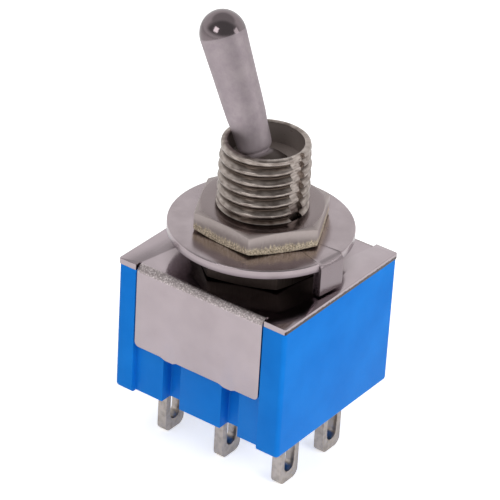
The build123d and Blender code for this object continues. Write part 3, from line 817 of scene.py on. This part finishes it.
# %% Three pairs of lugs
lug_pitch, pole_pitch = 4.7, 4.8
outer_blade = softened("outer_blade", "lug_front_right", 0.07, 40)
bake(outer_blade, 35).data.transform(Matrix.Translation(Vector((-lug_pitch, pole_pitch / 2, 0)) * mm))
middle_blade = softened("middle_blade", "lug_front_center", 0.07, 40)
bake(middle_blade, 35).data.transform(Matrix.Translation(Vector((0, pole_pitch / 2, 0)) * mm))
pairs = {"left": (outer_blade, -lug_pitch, pi), "center": (middle_blade, 0.0, 0.0),
         "right": (outer_blade, lug_pitch, 0.0)}
for place_name, (blade, x, half_turn) in pairs.items():
    pair = bpy.data.objects.new(f"solder_lugs_{place_name}", bpy.data.meshes.new("lugs"))
    bpy.context.collection.objects.link(pair)
    run_tree(pair, lug_tree, {
        "Blade": blade, "Start": (x * mm, -pole_pitch / 2 * mm, 0.0), "Step": (0.0, pole_pitch * mm, 0.0),
        "Half turn": half_turn, "Finish": lug_silver})
    bake(pair, 35)
    hand_over(pair, "switch_body", "silver_lug", None, f"lug_front_{place_name}", f"lug_rear_{place_name}")
bpy.data.objects.remove(outer_blade)
bpy.data.objects.remove(middle_blade)

# %% [markdown]
# ## Plunger springs
# A coil is a rule as well: a round wire swept along a spiral. Each coil stands on the shoulder of its plunger and
# pushes on the roof of its well in the actuator; it is wound at one height and moves with the slider.

# %% Nodes that wind a coil
coil_tree = bpy.data.node_groups.new("wound_coil", "GeometryNodeTree")
for name in ("Turns", "Radius", "Height", "Wire"):
    coil_tree.interface.new_socket(name, in_out="INPUT", socket_type="NodeSocketFloat")
coil_tree.interface.new_socket("Start", in_out="INPUT", socket_type="NodeSocketVector")
coil_tree.interface.new_socket("Finish", in_out="INPUT", socket_type="NodeSocketMaterial")
coil_tree.interface.new_socket("Geometry", in_out="OUTPUT", socket_type="NodeSocketGeometry")
given = add(coil_tree, "NodeGroupInput", {}, {}).outputs
spiral = add(coil_tree, "GeometryNodeCurveSpiral", {}, {
    "Resolution": 48, "Rotations": given["Turns"], "Start Radius": given["Radius"], "End Radius": given["Radius"],
    "Height": given["Height"]})
section = add(coil_tree, "GeometryNodeCurvePrimitiveCircle", {}, {"Resolution": 14, "Radius": given["Wire"]})
wire = add(coil_tree, "GeometryNodeCurveToMesh", {}, {
    "Curve": spiral.outputs[0], "Profile Curve": section.outputs[0], "Fill Caps": True})
placed = add(coil_tree, "GeometryNodeTransform", {}, {"Geometry": wire.outputs[0], "Translation": given["Start"]})
drawn = add(coil_tree, "GeometryNodeSetMaterial", {}, {"Geometry": placed.outputs[0], "Material": given["Finish"]})
add(coil_tree, "NodeGroupOutput", {}, {"Geometry": drawn.outputs[0]})
print("coil tree:", len(coil_tree.nodes), "nodes")

# %% Two coils
coil_radius, wire_radius, coil_turns = 0.67, 0.105, 2.5
coil_foot, coil_roof, coil_end, plunger_press = -3.3, -2.0, 0.11, 0.3
coil_x = tail_reach * sin(lean)

for pole, y in (("front", -pole_pitch / 2), ("rear", pole_pitch / 2)):
    coil = bpy.data.objects.new(f"{pole}_plunger_coil", bpy.data.meshes.new("coil"))
    bpy.context.collection.objects.link(coil)
    run_tree(coil, coil_tree, {
        "Turns": coil_turns, "Radius": coil_radius * mm, "Height": (coil_roof - coil_foot - 2 * coil_end) * mm,
        "Wire": wire_radius * mm, "Start": (coil_x * mm, y * mm, (coil_foot + coil_end) * mm),
        "Finish": spring_wire})
    bake(coil, 40)
    hand_over(coil, "slider", "spring_steel", None, f"plunger_spring_{pole}")
    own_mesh(coil)

# %% [markdown]
# ## Studio
# The switch stands on its lugs on a pale floor. The background is white for the camera and in reflections, but dark
# overhead and on the photographer's side, as in a dimmed room, because metal looks like metal only with something
# dark to mirror. A large soft lamp stands at the right, another at the front, and a weak one above; metal doesn't
# mirror these. Two smaller lamps at the front and the right are there to be mirrored, as glints.

# %% Floor
floor_level = -14.1
floor_reach = 0.6
floor_mirrored, floor_lift = 0.35, 0.6
corners = [(-1, -1), (1, -1), (1, 1), (-1, 1)]
floor_mesh = bpy.data.meshes.new("pale_floor")
floor_points = [(floor_reach * x, floor_reach * y, floor_level * mm) for x, y in corners]
floor_mesh.from_pydata(floor_points, [], [(0, 1, 2, 3)])
floor = bpy.data.objects.new("pale_floor", floor_mesh)
bpy.context.collection.objects.link(floor)
floor_paint, tree, shader, place = start_material("matt_white_card", "#f4f4f4", 0.0, 0.9)
ray = add(tree, "ShaderNodeLightPath", {}, {}).outputs
mirrored = calc(tree, "MULTIPLY", ray["Is Glossy Ray"], floor_mirrored)
seen = calc(tree, "MAXIMUM", ray["Is Camera Ray"], ray["Is Transmission Ray"])
lift = calc(tree, "MULTIPLY_ADD", seen, floor_lift, mirrored)
shader.inputs["Emission Color"].default_value = linear("#ffffff")
tree.links.new(lift, shader.inputs["Emission Strength"])
floor_mesh.materials.append(floor_paint)
print("floor at", floor_level, "mm")

# %% World
photographer = (0.569, -0.822, 0.0)
light_level, dark_level, overhead_share = 0.32, 0.24, 0.6

world = bpy.data.worlds.new("white_studio")
bpy.context.scene.world = world
world.use_nodes = True
tree = world.node_tree
tree.nodes.clear()
ray = add(tree, "ShaderNodeLightPath", {}, {}).outputs
seen = calc(tree, "MAXIMUM", ray["Is Camera Ray"], ray["Is Glossy Ray"])
seen = calc(tree, "MAXIMUM", seen, ray["Is Transmission Ray"])
direction = add(tree, "ShaderNodeTexCoord", {}, {}).outputs["Generated"]
upness = add(tree, "ShaderNodeSeparateXYZ", {}, {0: direction}).outputs["Z"]
frontness = add(tree, "ShaderNodeVectorMath", {"operation": "DOT_PRODUCT"}, {
    0: direction, 1: photographer}).outputs["Value"]
front = fade(tree, frontness, (-0.35, 0.25), smooth=True)
raised = fade(tree, upness, (0.05, 0.35), smooth=True)
room = calc(tree, "MULTIPLY", front, raised)
overhead = fade(tree, upness, (0.56, 0.74), (0.0, overhead_share), smooth=True)
dark = calc(tree, "MAXIMUM", room, overhead)
mirrored = fade(tree, dark, (0.0, 1.0), (1.0, dark_level))
strength = add(tree, "ShaderNodeMix", {}, {"Factor": seen, 2: light_level, 3: mirrored}).outputs[0]
backdrop = add(tree, "ShaderNodeBackground", {}, {"Color": linear("#ffffff"), "Strength": strength})
add(tree, "ShaderNodeOutputWorld", {}, {"Surface": backdrop.outputs[0]})
print("world:", len(tree.nodes), "nodes")

# %% Lamps
aim = Vector((0, 0, -0.002))
lamps = {
    "right_softbox": ((0.16, -0.02, 0.1), 0.1, 0.15),
    "front_softbox": ((0.0, -0.12, 0.19), 0.1, 0.09),
    "overhead_fill": ((-0.02, 0.05, 0.2), 0.08, 0.06),
    "front_glint": ((-0.02, -0.17, 0.13), 0.08, 0.065),
    "side_glint": ((0.155, 0.06, 0.075), 0.07, 0.024),
}
mirrored_lamps = ("front_glint", "side_glint")
for name, (where, size, watts) in lamps.items():
    lamp = bpy.data.lights.new(name, "AREA")
    lamp.shape = "SQUARE"
    lamp.size = size
    lamp.energy = watts
    holder = bpy.data.objects.new(name, lamp)
    holder.matrix_world = Matrix.LocRotScale(
        Vector(where), (aim - Vector(where)).to_track_quat("-Z", "Y"), None)
    holder.visible_glossy = name in mirrored_lamps
    bpy.context.collection.objects.link(holder)
print("lamps:", len(lamps))

# %% [markdown]
# ## Camera
# The camera's place was worked out from the photographed case's own corners: its direction, its roll about the line
# of sight, the number of pixels to a millimetre and how quickly things shrink with distance.

# %% Camera
camera_back = Vector((0.4878, -0.7046, 0.5153)).normalized()
camera_right = Vector((0.8029, 0.5939, 0.0521)).normalized()
camera_up = camera_back.cross(camera_right)
pixels_per_mm, shrink_per_mm = 15.533, 0.0051
frame_pixels, origin_pixel = 500, (259.34, 255.15)
eye = camera_back / shrink_per_mm
eye -= camera_right * (origin_pixel[0] - frame_pixels / 2) / pixels_per_mm
eye += camera_up * (origin_pixel[1] - frame_pixels / 2) / pixels_per_mm
lens = bpy.data.cameras.new("product_camera")
lens.sensor_width = 36.0
lens.lens = lens.sensor_width * pixels_per_mm / shrink_per_mm / frame_pixels
lens.clip_start, lens.clip_end = 0.01, 5.0
camera = bpy.data.objects.new("product_camera", lens)
turned = Matrix((camera_right, camera_up, camera_back)).transposed().to_4x4()
camera.matrix_world = Matrix.Translation(eye * mm) @ turned
bpy.context.collection.objects.link(camera)
bpy.context.scene.camera = camera
bpy.context.scene.view_settings.view_transform = "Standard"
print("lens", round(lens.lens, 1), "mm at", [round(v, 1) for v in eye])
